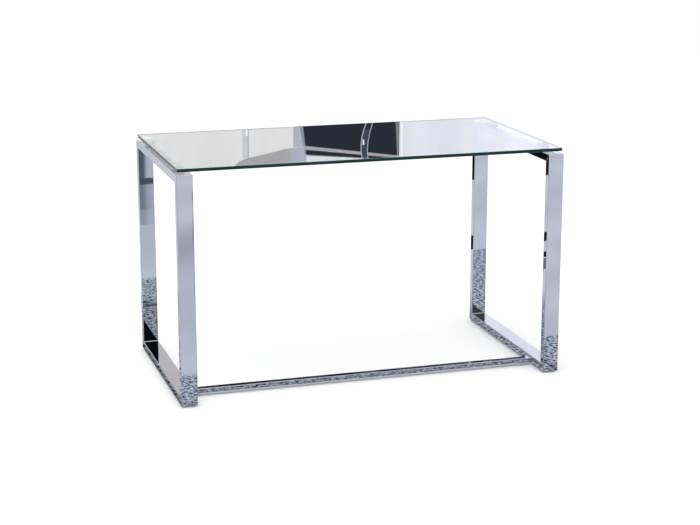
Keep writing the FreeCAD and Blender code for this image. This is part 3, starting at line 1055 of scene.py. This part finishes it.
def make_world():
    """White for lighting and for the camera, and the coloured sky for reflections."""
    world = bpy.data.worlds.new("studio")
    world.use_nodes = True
    bpy.context.scene.world = world
    tree = world.node_tree
    tree.nodes.clear()
    rays = tree.nodes.new("ShaderNodeLightPath")
    direction = tree.nodes.new("ShaderNodeTexCoord").outputs["Generated"]
    lit = tree.nodes.new("ShaderNodeBackground")
    tree.links.new(sky_colour(tree, direction), lit.inputs["Color"])
    tree.links.new(sky_strength(tree, direction, rays), lit.inputs["Strength"])
    plain = tree.nodes.new("ShaderNodeBackground")
    plain.inputs["Color"].default_value = (1, 1, 1, 1)
    plain.inputs["Strength"].default_value = CAMERA_SKY
    output = tree.nodes.new("ShaderNodeOutputWorld")
    for_reflections(
        tree, rays.outputs["Is Glossy Ray"], plain.outputs["Background"],
        lit.outputs["Background"], output,
    )


def add_softbox(name, location, size, watts):
    """A large square lamp that points at the floor under the middle of the table."""
    lamp = bpy.data.lights.new(name, "AREA")
    lamp.size = size
    lamp.energy = watts
    holder = bpy.data.objects.new(name, lamp)
    holder.location = location
    direction = floor.location - holder.location
    holder.rotation_euler = direction.to_track_quat("-Z", "Y").to_euler()
    bpy.context.scene.collection.objects.link(holder)


make_world()
add_softbox("overhead", (-0.8, -0.6, 4.2), 3.5, 60)
bpy.context.scene.view_settings.view_transform = "Standard"
print("sky strength for the camera:", CAMERA_SKY)

# %% [markdown]
# ## Cards
# A mirror shows a thing by the edge where it ends.  Flat cards that glow with one even shade are
# the cheapest things to mirror, and they hide from the camera and cast no shadow.  A few of them
# fade from one shade to another, as the side of a lit room does.


# %% Card helpers
def add_card(name, corners, shade, fade=None, through_glass=False):
    """A flat card that only reflections see, or only what is seen through the glass.

    fade is (x, x, shade): between the two x values the card turns into a second shade.
    """
    card = link_mesh(name, np.array(corners, float), [list(range(len(corners)))])
    material, tree, _ = new_material(f"{name}_shade")
    glow = tree.nodes.new("ShaderNodeEmission")
    glow.inputs["Color"].default_value = (*shade, 1)
    if fade is not None:
        x_low, x_high, second_shade = fade
        axes = split_axes(tree, stretched(tree, (1, 1, 1)))
        change = map_range(tree, axes["X"], (x_low, x_high), (0, 1))
        tree.links.new(blend_colours(tree, change, shade, second_shade), glow.inputs["Color"])
    tree.links.new(glow.outputs["Emission"], tree.nodes["Material Output"].inputs["Surface"])
    card.data.materials.append(material)
    card.visible_camera = False
    card.visible_diffuse = False
    card.visible_shadow = False
    card.visible_glossy = not through_glass
    return card


def pale_through_pane(card, shade, pale):
    """Give a card a second, pale shade for reflections that are seen through the pane."""
    tree = card.data.materials[0].node_tree
    rays = tree.nodes.new("ShaderNodeLightPath")
    passed = map_range(tree, rays.outputs["Transmission Depth"], (1, 2), (0, 1), False)
    colour = blend_colours(tree, passed, shade, pale)
    tree.links.new(colour, tree.nodes["Emission"].inputs["Color"])


def upright(y, x_low, x_high, z_low, z_high):
    """Corners of an upright rectangle that faces the front."""
    return [(x_low, y, z_low), (x_high, y, z_low), (x_high, y, z_high), (x_low, y, z_high)]


def on_floor(*places):
    """Corners (x, y) that lie just above the floor."""
    return [(x, y, 3 * MM) for x, y in places]


def ribbon(y, z_low, z_high, bow, width):
    """Corners of a bowed strip: x = bow(z) on one side and bow(z) + width on the other."""
    z = np.linspace(z_low, z_high, 12)
    left = np.stack([bow(z), np.full_like(z, y), z], axis=-1)
    right = left + np.array([width, 0, 0])
    return np.concatenate([left, right[::-1]])


# %% [markdown]
# ## Round the table
# Dark cards behind and in front give the legs their dark ends.  A narrow set of four near the
# front is a cloth that hangs to the floor, and its shades brighten to the right.  Three marks on
# the floor behind the table are a chair's rail, foot and shadow.

# %% Cards round the table
DARK = (0.010, 0.011, 0.014)
NEAR = -1.5
FRONT = -4.0
FAR = 6.0

rear_card = add_card("rear_card", upright(2.75, -0.95, -0.30, 0.0, 0.32), DARK)
pale_through_pane(rear_card, DARK, (0.80, 0.80, 0.86))
add_card("front_card", upright(FRONT, -0.1, 1.6, 0.8, 1.8), DARK)
add_card("front_side_card", upright(FRONT, 1.6, 3.4, 0.8, 1.8), (0.16, 0.14, 0.14))
add_card("stretcher_card", upright(FAR, 0.71, 3.24, 2.072, 2.118), DARK)
for name, z_low, z_high, shade, fade in (
    ("near_card", 0.231, 0.42, (0.17, 0.17, 0.21), (-0.280, -0.252, (0.86, 0.88, 0.98))),
    ("near_shadow", 0.205, 0.231, (0.14, 0.14, 0.18), None),
    ("near_cloth", 0.09, 0.205, (0.33, 0.35, 0.42), (-0.285, -0.245, (0.69, 0.72, 0.80))),
    ("near_hem", 0.02, 0.09, (0.55, 0.58, 0.66), (-0.285, -0.245, (0.78, 0.81, 0.89))),
):
    add_card(name, upright(NEAR, -0.315, -0.20, z_low, z_high), shade, fade)
add_card("chair_rail", on_floor((-0.33, 1.40), (0.25, 1.31), (0.25, 1.58), (-0.33, 1.53)), DARK)
add_card("chair_foot", on_floor((-0.17, 1.11), (-0.02, 1.11), (-0.02, 1.20), (-0.17, 1.20)), DARK)
add_card(
    "chair_shadow", on_floor((-0.09, 0.92), (0.04, 0.92), (0.04, 1.09), (-0.09, 1.09)),
    (0.26, 0.27, 0.30),
)

# %% [markdown]
# ## Drapes and a screen in the glass
# The glass top mirrors what hangs far behind the table.  Drapes fill the left of it, with the
# painted shade of a fold, a painted shadow beside it and a glint.  To the right stands a dark
# screen with a pale rail; its two bowed wires and its edge are painted highlights.  Each layer
# hangs a little in front of the last one, so that no two share one plane.

# %% Cards that the glass mirrors
DRAPES = FAR + 0.02
RAIL = FAR - 0.02
BOWS = FAR - 0.04
NAVY = (0.030, 0.040, 0.055)
MAUVE = (0.72, 0.68, 0.78)
WIRE_HIGHLIGHT = (0.62, 0.68, 0.76)
BRIGHT = (1.2, 1.25, 1.3)

add_card("side_drape", upright(DRAPES, 1.468, 1.56, 1.60, 1.826), (0.44, 0.46, 0.60))
add_card("low_drape", [
    (1.045, DRAPES, 1.935), (1.09, DRAPES, 1.900), (1.14, DRAPES, 1.884), (1.19, DRAPES, 1.877),
    (1.417, DRAPES, 1.833), (1.56, DRAPES, 1.826), (1.56, DRAPES, 2.00), (1.045, DRAPES, 2.00),
], (0.34, 0.32, 0.35), (1.40, 1.50, (0.42, 0.44, 0.64)))
# The fold is a grey strip of painted shade, and the darker strip beside it a painted shadow.
add_card("drape_fold_shade", upright(DRAPES, 1.106, 1.142, 1.60, 1.884), (0.72, 0.73, 0.77))
add_card("drape_shadow_strip", upright(DRAPES, 1.142, 1.153, 1.60, 1.882), (0.46, 0.50, 0.49))
add_card("drape_glint", upright(RAIL, 1.122, 1.135, 1.67, 1.725), BRIGHT)
add_card("screen_card", [
    (1.525, FAR, 1.60), (2.235, FAR, 1.60), (2.235, FAR, 1.955), (2.041, FAR, 1.935),
    (1.556, FAR, 1.885),
], NAVY)
add_card("screen_rail", [
    (1.53, RAIL, 1.812), (2.24, RAIL, 1.920), (2.24, RAIL, 1.938), (1.53, RAIL, 1.838),
], MAUVE)
# Painted highlights: the two bowed wires are thin strips that glow brightly.
add_card("left_bow", ribbon(
    BOWS, 1.64, 1.94, lambda z: 1.936 + 1.30 * (z - 1.840) ** 2, 0.008,
), WIRE_HIGHLIGHT)
add_card("right_bow", ribbon(
    BOWS, 1.64, 1.94, lambda z: 1.983 + 1.05 * (z - 1.865) ** 2, 0.007,
), WIRE_HIGHLIGHT)
add_card("bow_glass", ribbon(
    BOWS + 0.01, 1.72, 1.94, lambda z: 1.940 + 1.30 * (z - 1.840) ** 2, 0.044,
), (0.085, 0.10, 0.15))
add_card("bow_glint", upright(BOWS - 0.01, 1.947, 1.960, 1.785, 1.822), BRIGHT)
# Painted highlight: a bright line along the screen's edge.
add_card("screen_edge", upright(BOWS, 2.232, 2.246, 1.60, 1.96), BRIGHT)
print("layers behind the table, in metres:", sorted((DRAPES, FAR, RAIL, BOWS)))

# %% [markdown]
# ## A cloth behind the glass
# One dark cloth lies on the floor far behind the table.  It shows through the pane only, so its
# card is the one that reflections don't see.

# %% Card seen through the glass
cloth = add_card("cloth_behind", on_floor(
    (0.885, 3.64), (1.20, 3.425), (1.34, 3.42), (1.845, 4.95), (1.208, 4.95),
), DARK, through_glass=True)
print("seen only through glass:", cloth.name)
